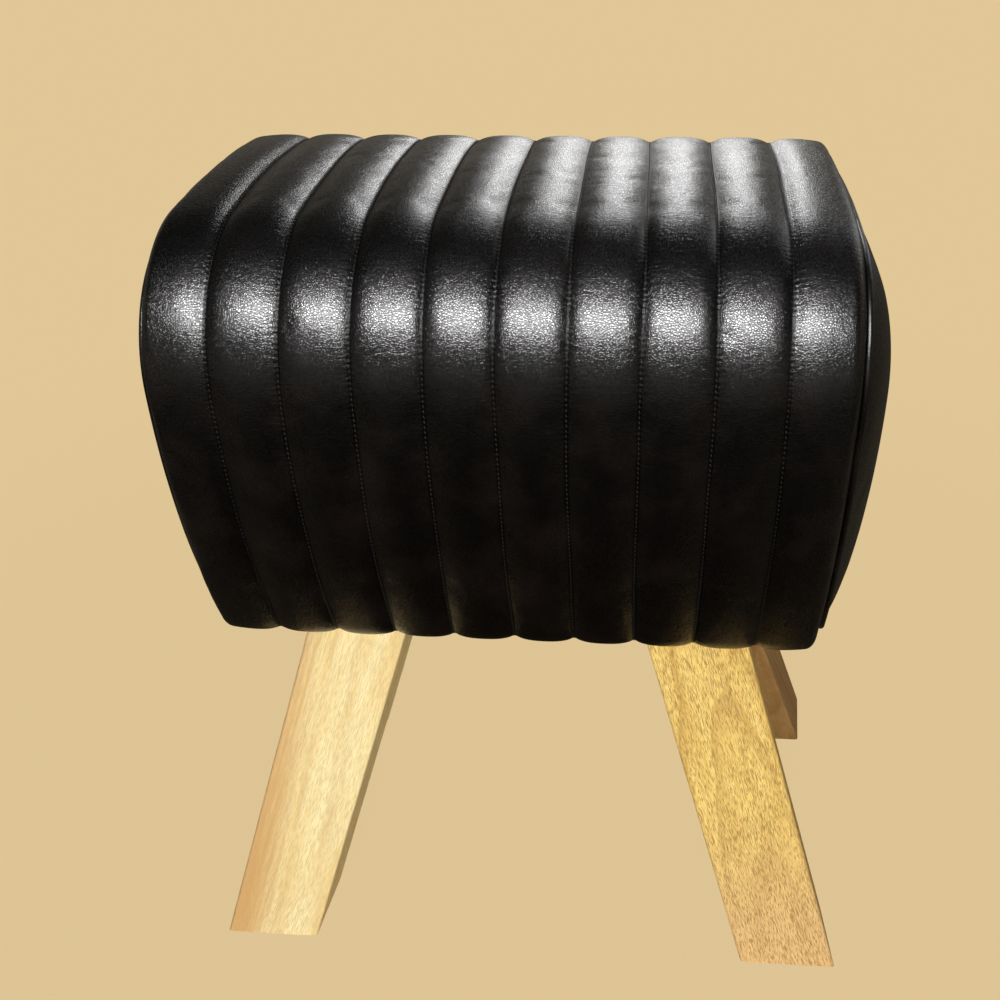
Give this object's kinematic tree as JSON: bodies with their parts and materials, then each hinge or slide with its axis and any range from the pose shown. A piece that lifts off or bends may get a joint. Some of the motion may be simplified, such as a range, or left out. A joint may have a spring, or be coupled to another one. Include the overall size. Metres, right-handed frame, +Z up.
{
  "type": "padded leather stool",
  "caption": "Small padded stool with a channel-sewn leather wrap, crowned piped ends and splayed hardwood legs.",
  "frame": {"origin": "on the floor, under the middle of the seat", "axes": "+X along the seat from left end to right end, +Y from front to back, +Z up"},
  "size_m": [0.4312, 0.2824, 0.5098],
  "materials": {
    "leather": "waxed near-black leather with a fine pebble grain",
    "piping_leather": "the same leather wrapped round a cord",
    "wadding": "white sewn polyester wadding",
    "foam": "yellowish upholstery foam",
    "plywood": "raw plywood with bare layered edges",
    "pine": "raw planed softwood",
    "zinc_steel": "bright zinc plating",
    "black_cloth": "black non-woven cloth",
    "leg_wood": "pale golden hardwood under a thin clear oil"
  },
  "bodies": {
    "root": {"ribbed_cover": "leather", "end_panel_left": "leather", "end_panel_right": "leather", "piping_left": "piping_leather", "piping_right": "piping_leather", "quilt_wadding": "wadding", "seat_foam": "foam", "front_foam": "foam", "rear_foam": "foam", "end_pad_left": "foam", "end_pad_right": "foam", "end_board_left": "plywood", "end_board_right": "plywood", "front_board": "plywood", "rear_board": "plywood", "top_board": "plywood", "base_board": "plywood", "front_rail": "pine", "rear_rail": "pine", "corner_posts": "pine", "frame_screws": "zinc_steel", "leg_bolts": "zinc_steel", "leg_washers": "zinc_steel", "base_cloth": "black_cloth", "leg_front_left": "leg_wood", "leg_front_right": "leg_wood", "leg_rear_left": "leg_wood", "leg_rear_right": "leg_wood"}
  },
  "joints": []
}
